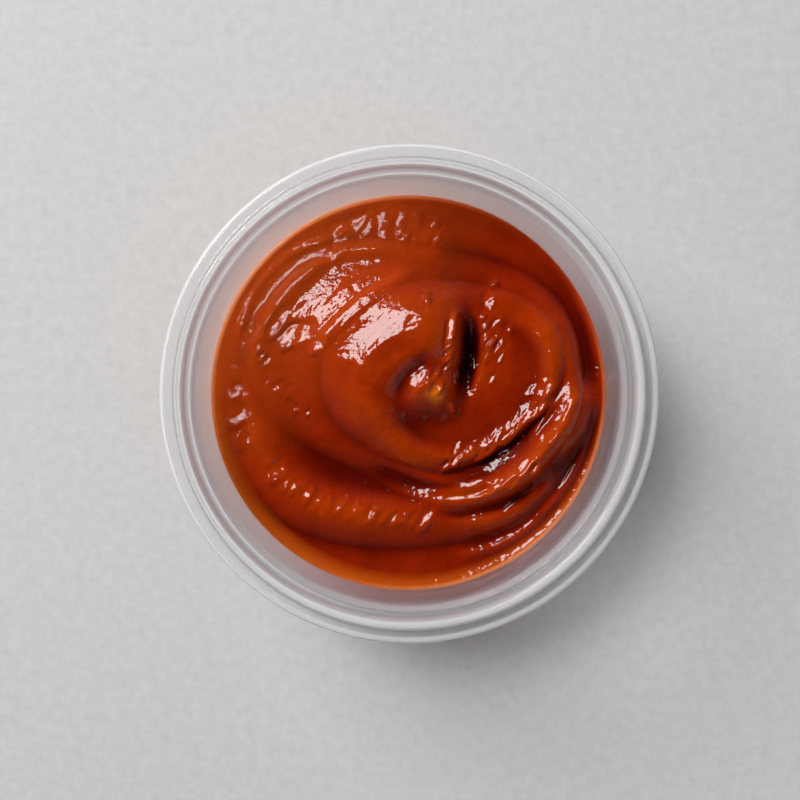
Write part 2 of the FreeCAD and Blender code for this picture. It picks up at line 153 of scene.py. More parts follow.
# Dabs, small facets that the pulp leaves in the skin: line, spread, size, count, the lean's X, Y.
DABS = [
    ([(-1.8, 9.2), (0.4, 10.2), (2.6, 11.0)], 0.7, 0.80, 6, (-0.29, 0.29)),
    ([(-18.8, 9.6), (-15.6, 7.8), (-12.2, 6.4)], 1.0, 0.85, 8, (-0.27, 0.29)),
    ([(-20.2, 6.0), (-17.6, 3.6)], 0.6, 0.45, 5, (-0.26, 0.29)),
    ([(-18.4, 0.8), (-15.4, 0.0), (-13.4, -2.2)], 0.9, 0.42, 9, (-0.26, 0.28)),
    ([(-17.6, -10.2), (-13.5, -12.8), (-9.5, -14.4), (-4.5, -15.4), (3.2, -16.4)],
     0.35, 0.74, 21, (-0.28, 0.33)),
    ([(-8.8, 20.2), (-4.4, 21.2), (0.0, 21.4), (3.4, 20.2)], 1.1, 0.75, 22, (-0.29, 0.26)),
    ([(-22.2, 1.4), (-21.8, -2.0), (-21.2, -6.2)], 0.45, 0.80, 8, (-0.25, 0.30)),
    ([(9.2, 13.2), (9.9, 9.6), (10.0, 6.4), (9.6, 2.6)], 1.4, 0.48, 24, (-0.31, 0.28)),
    ([(12.6, 8.8), (11.6, 4.6)], 0.5, 0.42, 7, (-0.31, 0.28)),
    ([(5.3, 9.2), (5.0, 6.6), (4.7, 3.2)], 0.1, 0.45, 11, (-0.30, 0.28)),
    ([(0.2, 0.6), (1.0, 1.9), (2.3, 2.6), (3.5, 2.5)], 0.10, 0.70, 4, (-0.29, 0.29)),
    ([(3.4, 0.9), (3.9, 0.5)], 0.1, 0.50, 3, (-0.30, 0.29)),
    ([(4.6, -8.4), (9.2, -7.3), (13.2, -4.8), (16.0, -1.0), (17.4, 2.6)],
     1.0, 0.55, 34, (-0.31, 0.31)),
    ([(9.6, -12.8), (13.2, -11.2), (16.0, -8.8)], 0.7, 0.50, 12, (-0.31, 0.32)),
    ([(12.0, -14.6), (15.6, -12.0)], 0.4, 0.45, 6, (-0.31, 0.32)),
    ([(20.8, -1.6), (18.6, -4.0), (16.4, -6.2)], 0.5, 0.45, 9, (-0.32, 0.30)),
]
DAB_HEADING = math.radians(58.0)
DAB_STRETCH = 1.9
DAB_PLACES = (0.1, 0.9)     # where in its stretch of the line a dab may lie
DAB_TURN = 0.05             # how far its lean may stray
DAB_SIZES = (0.7, 1.25)     # and its size, as a share
DAB_SEED = 40

# Ripples across a strand: the patch's line, its half width, ripple height, heading and wave.
RIPPLES = [
    ([(-17.5, -10.4), (-13.5, -12.9), (-9.5, -14.5), (-4.5, -15.4), (2.5, -16.3)],
     1.2, 0.060, 62.0, 0.50),
    ([(-16.5, 6.0), (-12.5, 11.0), (-7.5, 13.5), (-2.0, 15.8)], 2.6, 0.050, 50.0, 0.60),
    ([(4.5, -7.2), (9.0, -6.2), (13.0, -4.5), (17.0, 1.0)], 1.4, 0.070, 66.0, 0.45),
    ([(-8.0, 21.5), (-2.0, 22.0), (3.2, 20.5)], 2.2, 0.045, 75.0, 0.55),
    ([(9.0, 12.0), (10.2, 8.0), (9.6, 4.0)], 1.8, 0.100, 50.0, 0.50),
    ([(-19.5, 6.0), (-16.5, 1.5), (-15.0, -2.0)], 1.8, 0.075, 140.0, 0.50),
    ([(15.5, -6.0), (19.0, -3.5), (21.0, -1.0)], 1.2, 0.060, 60.0, 0.45),
    ([(10.0, -12.2), (13.0, -10.8), (15.5, -9.2)], 1.2, 0.060, 60.0, 0.45),
]
RIPPLE_FADE = 0.1
# A ripple's coarse and fine part: share of its height, stretch along it, share of its wave, seed.
RIPPLE_PARTS = [(1.0, 4, 1.0, 21), (0.5, 3, 0.6, 22)]

# Lumps of the pulp: height, width, seed and how far their field is moved along X and Y.
LUMPS = [(0.035, 1.3, 11, (0, 0)), (0.022, 0.7, 12, (31, -17))]
TABLE_SIZE = 256            # the random fields repeat after this many cells

# The grid on which the creases' depth is worked out, and how many cells around it compares.
FIELD_COUNT = 261
FIELD_HALF = 26.0
FIELD_REACHES = (5, 12)
CREASE_SHADE_SPAN = 2.4           # from the highest crest to the deepest crease that the color tells


# ---------------------------------------------------------------- small helpers

def ease(share):
    share = np.clip(share, 0.0, 1.0)
    return share * share * (3 - 2 * share)


def swing(sizes, angle, fade):
    mean, amount, heading = sizes
    return mean + amount * fade * np.cos(angle - math.radians(heading))


def value_noise(x, y, cell, seed):
    """Smooth random field between -1 and 1 with bumps about one cell across."""
    table = np.random.default_rng(seed).uniform(-1, 1, (TABLE_SIZE, TABLE_SIZE))
    across = x / cell
    along = y / cell
    column = np.floor(across).astype(int)
    row = np.floor(along).astype(int)
    u = ease(across - column)
    v = ease(along - row)
    here = column % TABLE_SIZE
    beyond = (column + 1) % TABLE_SIZE
    below = row % TABLE_SIZE
    above = (row + 1) % TABLE_SIZE
    low = table[here, below] * (1 - u) + table[beyond, below] * u
    high = table[here, above] * (1 - u) + table[beyond, above] * u
    return low * (1 - v) + high * v


def smooth_line(points, steps=8):
    """Catmull-Rom curve through the points."""
    points = np.array(points, float)
    knots = np.vstack([2 * points[0] - points[1], points, 2 * points[-1] - points[-2]])
    curve = []
    for p0, p1, p2, p3 in zip(knots, knots[1:], knots[2:], knots[3:]):
        for share in np.arange(steps) / steps:
            pull = 2 * p0 - 5 * p1 + 4 * p2 - p3
            bend = 3 * p1 - p0 - 3 * p2 + p3
            curve.append(0.5 * (2 * p1 + (p2 - p0) * share + pull * share ** 2 + bend * share ** 3))
    curve.append(points[-1])
    return np.array(curve)


def make_mesh(name, points, faces, smooth=True):
    mesh = bpy.data.meshes.new(name)
    mesh.from_pydata([tuple(point) for point in points], [], faces)
    mesh.validate()
    mesh.update()
    if smooth:
        mesh.polygons.foreach_set("use_smooth", [True] * len(mesh.polygons))
    piece = bpy.data.objects.new(name, mesh)
    bpy.context.scene.collection.objects.link(piece)
    return piece


# ---------------------------------------------------------------- the sauce's surface

def turn_height(turn, x, y):
    across = x - turn["middle"][0]
    along = y - turn["middle"][1]
    angle = np.arctan2(along, across)
    distance = np.hypot(across, along)
    outline = np.full_like(distance, turn["radius"])
    for count, (height, heading) in enumerate(turn["waves"], start=1):
        outline = outline + height * np.cos(count * angle - math.radians(heading))
    inward = outline - distance
    fade = ease(distance / (CROWN_SHARE * turn["radius"]))
    rise = swing(turn["rise"], angle, fade)
    flank = swing(turn["flank"], angle, fade)
    dip = swing(turn["dip"], angle, fade)
    climbed = np.clip(inward / flank, 0, 1)
    crest = 1 - (1 - climbed) ** FLANK_POWER
    back = ease((inward - BACK_START * flank) / turn["reach"])
    return rise * crest - dip * back


def strand_height(strand, x, y):
    line, width, height, fade_in, fade_out, power = strand
    curve = smooth_line(line)
    lengths = np.concatenate([[0], np.cumsum(np.hypot(*np.diff(curve, axis=0).T))])
    share = lengths / lengths[-1]
    strength = ease(share / fade_in) * ease((1 - share) / fade_out)
    strongest = np.zeros_like(x)
    for start, finish, begin, end in zip(curve, curve[1:], strength, strength[1:]):
        run = finish - start
        along = np.clip(((x - start[0]) * run[0] + (y - start[1]) * run[1]) / (run @ run), 0, 1)
        off_x = x - start[0] - along * run[0]
        off_y = y - start[1] - along * run[1]
        gap = np.sqrt(off_x ** 2 + off_y ** 2)
        here = (begin + (end - begin) * along) * np.exp(-(gap / width) ** power)
        strongest = np.maximum(strongest, here)
    return height * strongest


def inner_wall(z):
    return FOOT_R + z * TAPER - WALL_ACROSS


EDGE_R = inner_wall(SAUCE_LEVEL)


def skin_height(x, y):
    """Height of the coiled surface without its pulp."""
    scale = COIL_REACH / EDGE_R
    drawn_x = x * scale
    drawn_y = y * scale
    height = np.full_like(x, SAUCE_LEVEL)
    for turn in TURNS:
        height = height + turn_height(turn, drawn_x, drawn_y)
    for strand in STRANDS:
        height = height + strand_height(strand, drawn_x, drawn_y)
    from_wall = EDGE_R - np.hypot(x, y)
    height = height + WALL_CREEP * np.exp(-(from_wall / CREEP_WIDTH) ** 2)
    return height


def skin_slope(x, y):
    step = SLOPE_STEP
    slope_x = (skin_height(x + step, y) - skin_height(x - step, y)) / (2 * step)
    slope_y = (skin_height(x, y + step) - skin_height(x, y - step)) / (2 * step)
    return slope_x, slope_y


def lean_height(lean, x, y):
    """Relief that turns the surface along a line toward the lean asked for, and fades out."""
    line, width, wanted, share = lean
    curve = smooth_line(line)
    ends = np.minimum(np.arange(len(curve)), np.arange(len(curve))[::-1]) / len(curve)
    strength = share * ease(ends / LEAN_FADE)
    slope_x, slope_y = skin_slope(curve[:, 0], curve[:, 1])
    turn_x = -(wanted[0] + slope_x) * strength
    turn_y = -(wanted[1] + slope_y) * strength
    nearest = np.full_like(x, math.inf)
    height = np.zeros_like(x)
    for number in range(len(curve) - 1):
        start = curve[number]
        run = curve[number + 1] - start
        along = np.clip(((x - start[0]) * run[0] + (y - start[1]) * run[1]) / (run @ run), 0, 1)
        off_x = x - start[0] - along * run[0]
        off_y = y - start[1] - along * run[1]
        gap_square = off_x ** 2 + off_y ** 2
        tilt_x = turn_x[number] + (turn_x[number + 1] - turn_x[number]) * along
        tilt_y = turn_y[number] + (turn_y[number + 1] - turn_y[number]) * along
        cover = np.exp(-(gap_square / width ** 2) ** 2)
        here = (tilt_x * off_x + tilt_y * off_y) * cover
        height = np.where(gap_square < nearest, here, height)
        nearest = np.minimum(nearest, gap_square)
    return height


def dab_height(dabs, x, y, seed):
    """Relief of small facets strewn along a line, each turned toward the lean asked for."""
    line, spread, size, count, wanted = dabs
    luck = np.random.default_rng(seed)
    curve = smooth_line(line)
    numbers = np.arange(len(curve))
    places = (np.arange(count) + luck.uniform(*DAB_PLACES, count)) / count * (len(curve) - 1)
    centre_x = np.interp(places, numbers, curve[:, 0]) + luck.uniform(-spread, spread, count)
    centre_y = np.interp(places, numbers, curve[:, 1]) + luck.uniform(-spread, spread, count)
    slope_x, slope_y = skin_slope(centre_x, centre_y)
    turn_x = -(wanted[0] + slope_x + luck.uniform(-DAB_TURN, DAB_TURN, count))
    turn_y = -(wanted[1] + slope_y + luck.uniform(-DAB_TURN, DAB_TURN, count))
    sizes = size * luck.uniform(*DAB_SIZES, count)
    height = np.zeros_like(x)
    weight = np.zeros_like(x)
    for number in range(count):
        off_x = x - centre_x[number]
        off_y = y - centre_y[number]
        along = (off_x * math.cos(DAB_HEADING) + off_y * math.sin(DAB_HEADING)) / DAB_STRETCH
        across = off_y * math.cos(DAB_HEADING) - off_x * math.sin(DAB_HEADING)
        cover = np.exp(-((along ** 2 + across ** 2) / sizes[number] ** 2) ** 2)
        height = height + (turn_x[number] * off_x + turn_y[number] * off_y) * cover
        weight = weight + cover
    return height / np.maximum(weight, 1)


def ripple_height(ripples, x, y):
    line, width, height, heading, wave = ripples
    along = math.radians(heading)
    across = -x * math.sin(along) + y * math.cos(along)
    down = x * math.cos(along) + y * math.sin(along)
    shape = np.zeros_like(x)
    for share, stretch, fineness, seed in RIPPLE_PARTS:
        shape = shape + share * value_noise(down / stretch, across, wave * fineness, seed)
    patch = strand_height((line, width, height, RIPPLE_FADE, RIPPLE_FADE, 2), x, y)
    return patch * shape


def pulp(x, y):
    """Low lumps of the chilli's pulp, and the facets and ripples of the strand as it was laid."""
    relief = np.zeros_like(x)
    for height, width, seed, (move_x, move_y) in LUMPS:
        relief = relief + height * value_noise(x + move_x, y + move_y, width, seed)
    for lean in LEANS:
        relief = relief + lean_height(lean, x, y)
    for seed, dabs in enumerate(DABS, start=DAB_SEED):
        relief = relief + dab_height(dabs, x, y, seed)
    for ripples in RIPPLES:
        relief = relief + ripple_height(ripples, x, y)
    return relief


def box_blur(field, cells):
    """Mean over a square patch, by running sums, with the edge values held outside."""
    for axis in (0, 1):
        pad = [(0, 0), (0, 0)]
        pad[axis] = (cells + 1, cells)
        sums = np.cumsum(np.pad(field, pad, mode="edge"), axis=axis)
        size = field.shape[axis]
        high = np.take(sums, np.arange(size) + 2 * cells + 1, axis=axis)
        low = np.take(sums, np.arange(size), axis=axis)
        field = (high - low) / (2 * cells + 1)
    return field


def hollow_depth(x, y):
    """How far the surface lies below its surroundings: deep in the creases, below 0 on crests."""
    places = np.linspace(-FIELD_HALF, FIELD_HALF, FIELD_COUNT)
    field_x, field_y = np.meshgrid(places, places, indexing="ij")
    field = skin_height(field_x, field_y)
    depth = np.zeros_like(field)
    for cells in FIELD_REACHES:
        smooth = box_blur(box_blur(field, cells), cells)
        depth = depth + (smooth - field) / len(FIELD_REACHES)
    column = (x + FIELD_HALF) / (2 * FIELD_HALF) * (FIELD_COUNT - 1)
    row = (y + FIELD_HALF) / (2 * FIELD_HALF) * (FIELD_COUNT - 1)
    left = np.clip(np.floor(column).astype(int), 0, FIELD_COUNT - 2)
    low = np.clip(np.floor(row).astype(int), 0, FIELD_COUNT - 2)
    u = column - left
    v = row - low
    near = depth[left, low] * (1 - u) + depth[left + 1, low] * u
    far = depth[left, low + 1] * (1 - u) + depth[left + 1, low + 1] * u
    return near * (1 - v) + far * v


# ---------------------------------------------------------------- the sauce

def sauce_points():
    """Points from the middle of the surface outward, down the wall and in over the floor."""
    share = np.linspace(0, 1, RINGS + 1)[1:]
    angles = np.arange(SECTORS) * 2 * math.pi / SECTORS
    edge = EDGE_R + EDGE_FLARE + INTO_WALL
    radii = edge * share
    x = np.outer(radii, np.cos(angles))
    y = np.outer(radii, np.sin(angles))
    z = skin_height(x, y) + pulp(x, y)
    middle = np.array([0.0])
    middle_z = skin_height(middle, middle) + pulp(middle, middle)
    points = [(0.0, 0.0, float(middle_z[0]))]
    points += list(zip(x.ravel(), y.ravel(), z.ravel()))
    edge_z = z[-1]
    for step in range(1, SIDE_STEPS + 1):
        level = edge_z + (WALL - edge_z) * step / SIDE_STEPS
        radius = inner_wall(level) + INTO_WALL
        low = level - INTO_WALL * step / SIDE_STEPS
        points += list(zip(radius * np.cos(angles), radius * np.sin(angles), low))
    slope_r = FOOT_R - FOOT_RING + SLOPE_OUT
    raised = WALL + RECESS
    for radius, level in ((slope_r, WALL), (slope_r - RECESS_FLARE, raised), (slope_r / 2, raised)):
        low = np.full(SECTORS, level - INTO_WALL)
        points += list(zip(radius * np.cos(angles), radius * np.sin(angles), low))
    points.append((0.0, 0.0, raised - INTO_WALL))
    return points


def sauce_faces(last_point):
    """Faces between the rings of points, with a fan at each end."""
    faces = []
    for sector in range(SECTORS):
        following = (sector + 1) % SECTORS
        faces.append((0, 1 + sector, 1 + following))
    bands = (last_point - 1) // SECTORS
    for band in range(bands - 1):
        here = 1 + band * SECTORS
        there = here + SECTORS
        for sector in range(SECTORS):
            following = (sector + 1) % SECTORS
            faces.append((here + sector, there + sector, there + following, here + following))
    last = 1 + (bands - 1) * SECTORS
    for sector in range(SECTORS):
        faces.append((last + (sector + 1) % SECTORS, last + sector, last_point))
    return faces


def make_sauce():
    points = sauce_points()
    faces = sauce_faces(len(points) - 1)
    places = np.array(points)
    piece = make_mesh("sauce_coil", places * MM, faces)
    # The creases' depth is kept for the painted shade in the creases.
    depth = hollow_depth(places[:, 0], places[:, 1])
    mask = piece.data.attributes.new("crease_shade", "FLOAT", "POINT")
    mask.data.foreach_set("value", np.clip(0.5 + depth / CREASE_SHADE_SPAN, 0, 1))
    return piece


# ---------------------------------------------------------------- the cup

def rounded(corners):
    """Outline with each corner that has a radius rounded off by an arc."""
    outline = []
    count = len(corners)
    for number, (x, z, radius) in enumerate(corners):
        here = np.array([x, z])
        if radius == 0:
            outline.append(here)
            continue
        before = np.array(corners[number - 1][:2]) - here
        after = np.array(corners[(number + 1) % count][:2]) - here
        back = before / np.linalg.norm(before)
        ahead = after / np.linalg.norm(after)
        half = math.acos(np.clip(back @ ahead, -1, 1)) / 2
        reach = radius / math.tan(half)
        start = here + back * reach
        finish = here + ahead * reach
        middle = here + (back + ahead) / np.linalg.norm(back + ahead) * radius / math.sin(half)
        first = start - middle
        last = finish - middle
        turn = math.atan2(first[0] * last[1] - first[1] * last[0], first @ last)
        for step in range(ARC_STEPS + 1):
            angle = turn * step / ARC_STEPS
            spun = (first[0] * math.cos(angle) - first[1] * math.sin(angle),
                    first[0] * math.sin(angle) + first[1] * math.cos(angle))
            outline.append(middle + spun)
    return outline


def cup_section():
    """Corners of the cup's profile: radius, height and how far each is rounded off."""
    ledge_in = inner_wall(LEDGE_Z)
    ledge_out = ledge_in + LEDGE_WIDTH
    bead_in = ledge_out + SEAT_LEAN
    bead_out = bead_in + BEAD_WIDTH
    under_ledge = LEDGE_Z - WALL
    shift = WALL * (math.hypot(RECESS_FLARE, RECESS) - RECESS_FLARE) / RECESS
    ring_in = FOOT_R - FOOT_RING
    return [
        (0.0, RECESS + WALL, 0),
        (ring_in - RECESS_FLARE + shift, RECESS + WALL, 0.3),
        (ring_in + shift, WALL, 0.3),
        (inner_wall(WALL), WALL, 0.6),
        (ledge_in, LEDGE_Z, 0.15),
        (ledge_out, LEDGE_Z, 0.15),
        (bead_in, TOP, 0.50),
        (bead_out - BEAD_LEAN, TOP, 0.38),
        (bead_out + BEAD_LEAN, BRIM_Z, 0.38),
        (RIM_R, BRIM_Z, 0.35),
        (RIM_R, LIP_Z, 0.12),
        (RIM_R - RIM_THICK, LIP_Z, 0.12),
        (RIM_R - RIM_THICK, BRIM_Z - RIM_THICK, 0.12),
        (bead_out - RIM_THICK, BRIM_Z - RIM_THICK, 0.12),
        (bead_out - RIM_THICK, TOP - RIM_THICK, 0.2),
        (bead_in + RIM_THICK, TOP - RIM_THICK, 0.2),
        (ledge_out + RIM_THICK, under_ledge, 0.35),
        (FOOT_R + under_ledge * TAPER, under_ledge, 0.25),
        (FOOT_R, 0.0, 0.9),
        (ring_in, 0.0, 0.2),
        (ring_in - RECESS_FLARE, RECESS, 0.2),
        (0.0, RECESS, 0),
    ]


def make_cup():
    outline = rounded(cup_section())
    points = [(0.0, 0.0, outline[0][1]), (0.0, 0.0, outline[-1][1])]
    ring = outline[1:-1]
    for radius, level in ring:
        for sector in range(CUP_SECTORS):
            angle = 2 * math.pi * sector / CUP_SECTORS
            points.append((radius * math.cos(angle), radius * math.sin(angle), level))
    faces = []
    last = 2 + (len(ring) - 1) * CUP_SECTORS
    for sector in range(CUP_SECTORS):
        following = (sector + 1) % CUP_SECTORS
        faces.append((0, 2 + sector, 2 + following))
        faces.append((1, last + following, last + sector))
        for band in range(len(ring) - 1):
            here = 2 + band * CUP_SECTORS
            there = here + CUP_SECTORS
            faces.append((here + sector, there + sector, there + following, here + following))
    return make_mesh("cup_shell", np.array(points) * MM, faces)


# ---------------------------------------------------------------- materials

class Nodes:
    """Short-hand for the node tree of a material or of the world."""

    def __init__(self, owner):
        owner.use_nodes = True
        self.tree = owner.node_tree
        self.tree.nodes.clear()

    def add(self, kind, inputs=None, **settings):
        """A new node with its inputs set or linked; gives its outputs."""
        node = self.tree.nodes.new("ShaderNode" + kind)
        for name, value in settings.items():
            setattr(node, name, value)
        for name, value in (inputs or {}).items():
            if isinstance(value, bpy.types.NodeSocket):
                self.tree.links.new(value, node.inputs[name])
            else:
                node.inputs[name].default_value = value
        return node.outputs

    def math(self, operation, *values, **settings):
        inputs = dict(enumerate(values))
        return self.add("Math", inputs, operation=operation, **settings)["Value"]

    def span(self, value, limits, most=1.0):
        """0 at the first limit and the most at the second, which may be the lower one."""
        low, high = limits
        inputs = {"Value": value, "From Min": low, "From Max": high, "To Max": most}
        return self.add("MapRange", inputs)["Result"]

    def noise(self, where, scale, detail, roughness=0.5):
        inputs = {"Vector": where, "Scale": scale, "Detail": detail, "Roughness": roughness}
        return self.add("TexNoise", inputs)["Fac"]

    def mix(self, factor, first, second, blend="MIX"):
        """Mix of two colors, which are inputs 6 and 7 of the node."""
        inputs = {0: factor, 6: first, 7: second}
        return self.add("Mix", inputs, data_type="RGBA", blend_type=blend)[2]

    def blend(self, share, first, second):
        """Mix of two shaders."""
        return self.add("MixShader", {0: share, 1: first, 2: second})["Shader"]

    def ramp(self, factor, stops):
        node = self.tree.nodes.new("ShaderNodeValToRGB")
        self.tree.links.new(factor, node.inputs["Fac"])
        ramp = node.color_ramp
        for place, color in stops[2:]:
            ramp.elements.new(place)
        elements = sorted(ramp.elements, key=lambda item: item.position)
        for element, (place, color) in zip(elements, sorted(stops)):
            element.position = place
            element.color = (*color, 1)
        return node.outputs["Color"]


def new_material(name):
    material = bpy.data.materials.new(name)
    return material, Nodes(material)


SAUCE_EDGE = ((SAUCE_LEVEL - 1.0) * MM, SAUCE_LEVEL * MM)
DIAGONAL = 0.7071


def over_sauce(n, split):
    """0 down the wall below the sauce's edge and 1 above it."""
    return n.span(split["Z"], SAUCE_EDGE)


def from_axis(n, split):
    """Distance from the axis, and how far toward the key light a place lies, from -1 to 1."""
    square_x = n.math("POWER", split["X"], 2.0)
    square_y = n.math("POWER", split["Y"], 2.0)
    radius = n.math("POWER", n.math("ADD", square_x, square_y), 0.5)
    side = n.math("DIVIDE", n.math("SUBTRACT", split["Y"], split["X"]), radius)
    return radius, n.math("MULTIPLY", side, DIAGONAL)


def mirrored_share(n, path):
    """1 for rays that a surface mirrors, and 0 for those that go through it."""
    glossy = path["Is Glossy Ray"]
    return n.math("SUBTRACT", glossy, path["Is Transmission Ray"], use_clamp=True)


# The rim's rings on the side toward the key light and on the far side, with painted light and
# shade: radius in mm, cloudiness and grey of each. The grey paints dark lines where the rounded
# edges bend light away and bright bands where they catch the key light.
PAINTED_RINGS_LIT = [
    (25.2, 0.20, 0.86), (26.7, 0.20, 0.86), (26.95, 0.30, 0.34), (27.15, 0.24, 0.88),
    (27.75, 0.20, 0.86), (28.00, 0.32, 0.42), (28.30, 0.18, 0.88), (29.05, 0.20, 0.90),
    (29.25, 0.34, 0.36), (29.50, 0.12, 0.80), (30.50, 0.14, 0.86), (30.75, 0.60, 0.97),
    (31.00, 0.50, 0.92)]
PAINTED_RINGS_FAR = [
    (25.2, 0.05, 0.50), (26.5, 0.06, 0.52), (26.75, 0.24, 0.88), (27.20, 0.26, 0.88),
    (27.45, 0.25, 0.45), (27.85, 0.20, 0.55), (28.10, 0.20, 0.82), (28.45, 0.48, 0.97),
    (29.10, 0.48, 0.97), (29.35, 0.26, 0.45), (30.00, 0.12, 0.60), (30.35, 0.42, 0.92),
    (30.85, 0.40, 0.88), (31.00, 0.30, 0.50)]
CLOUD_AND_SHEEN = 1
RING_SHADE = 2

LIT_FROM = (-0.5, 0.4)              # from the far side to the side toward the key light
WALL_FROM = (0.0270, 0.0264)        # radius, in m, where the wall starts inside the rim
RIM_TINT = (0.968, 0.970, 0.985, 1)
# Painted reflection of the sauce in the wall, in a shaded copy for the far side and a lit copy
# toward the key light.
WALL_REFLECTION_FAR = (0.900, 0.805, 0.835, 1)
WALL_REFLECTION_LIT = (0.990, 0.930, 0.910, 1)
UNBENT_SHARE = 0.35                 # of the light passes the thin wall without being bent
SEEN_THROUGH = 0.3                  # of the cloudiness is lit from behind
SHADOW_TINT = (0.80, 0.80, 0.80, 1)


def ring_ramp(n, radius, rings, column):
    """A value that runs through the rings' figures from the wall out to the lip."""
    low = rings[0][0]
    high = rings[-1][0]
    share = n.span(radius, (low * MM, high * MM))
    stops = [((ring[0] - low) / (high - low), (ring[column],) * 3) for ring in rings]
    return n.ramp(share, stops)


def ring_value(n, radius, lit, column):
    far = ring_ramp(n, radius, PAINTED_RINGS_FAR, column)
    return n.mix(lit, far, ring_ramp(n, radius, PAINTED_RINGS_LIT, column))


def plastic_material():
    material, n = new_material("clear_plastic")
    where = n.add("TexCoord")["Object"]
    split = n.add("SeparateXYZ", {"Vector": where})
    radius, side = from_axis(n, split)
    lit = n.span(side, LIT_FROM)
    flow = n.noise(where, 120.0, 1.0)
    bump = n.add("Bump", {"Strength": 0.03, "Distance": 0.0002, "Height": flow})["Normal"]
    # Painted reflection: the wall over the sauce takes on some of the sauce's red, with painted
    # shade that makes it darker on the far side from the key light.
    sauce_reflection = n.mix(lit, WALL_REFLECTION_FAR, WALL_REFLECTION_LIT)
    tint_and_reflection = n.mix(n.span(radius, WALL_FROM), RIM_TINT, sauce_reflection)
    body = n.add("BsdfPrincipled", {
        "Base Color": tint_and_reflection, "Roughness": 0.06, "IOR": 1.49, "Transmission Weight": 1.0,
        "Normal": bump})["BSDF"]
    unbent = n.add("BsdfTransparent", {"Color": tint_and_reflection})["BSDF"]
    walls = n.blend(UNBENT_SHARE, body, unbent)
    # The rim's rings and the rounded edges are a little cloudy, and carry painted light and shade:
    # bright bands where they catch the key light, dark lines where they bend it away.
    ring_shade_color = n.mix(1.0, ring_value(n, radius, lit, RING_SHADE), tint_and_reflection, "MULTIPLY")
    haze_and_sheen = n.math("MULTIPLY", ring_value(n, radius, lit, CLOUD_AND_SHEEN), over_sauce(n, split))
    front = n.add("BsdfDiffuse", {"Color": ring_shade_color})["BSDF"]
    back = n.add("BsdfTranslucent", {"Color": ring_shade_color})["BSDF"]
    painted_rings = n.blend(haze_and_sheen, walls, n.blend(SEEN_THROUGH, front, back))
    # Shadow rays, and rays that the sauce mirrors, go straight through the thin wall.
    clear = n.add("BsdfTransparent", {"Color": SHADOW_TINT})["BSDF"]
    path = n.add("LightPath")
    straight = n.math("MAXIMUM", mirrored_share(n, path), path["Is Shadow Ray"])
    n.add("OutputMaterial", {"Surface": n.blend(straight, painted_rings, clear)})
    return material


# Painted shade: base color from the crests, at 0, to the deepest creases, at 1, darkening where
# shade falls in the creases, along with the deeper red of thicker sauce there.
CREASE_SHADE_COLORS = [
    (0.28, (0.46, 0.046, 0.0014)), (0.50, (0.34, 0.020, 0.0009)),
    (0.66, (0.13, 0.0045, 0.0005)), (0.85, (0.04, 0.001, 0.0004))]
BLOTCHES = [(0.3, (0.72, 0.62, 0.6)), (0.7, (1.0, 1.0, 1.0))]
# Painted light on the side of the sauce toward the key light.
PAINTED_LIGHT_COLOR = (0.56, 0.085, 0.010, 1)
PAINTED_LIGHT_REACH = (0.004, 0.026)          # m from the axis toward the key light
PAINTED_LIGHT_MOST = 0.6
EDGE_COLOR = (0.46, 0.075, 0.005, 1)
EDGE_REACH = (0.0240, 0.0258)       # radius, in m
EDGE_LEAN = (-0.020, -0.045)        # the band widens against X and Y
# Painted highlight where the sauce climbs the wall.
MENISCUS_HIGHLIGHT_COLOR = (0.70, 0.22, 0.08, 1)
MENISCUS_HIGHLIGHT_REACH = (0.0246, 0.0249)     # radius, in m
# Painted light: the glow on the curled tip.
TIP_GLOW_COLOR = (0.72, 0.17, 0.006, 1)
TIP_GLOW_PLACE = (0.0034, -0.0006, 0.0236)
TIP_GLOW_REACH = (0.0019, 0.0004)        # m from that place


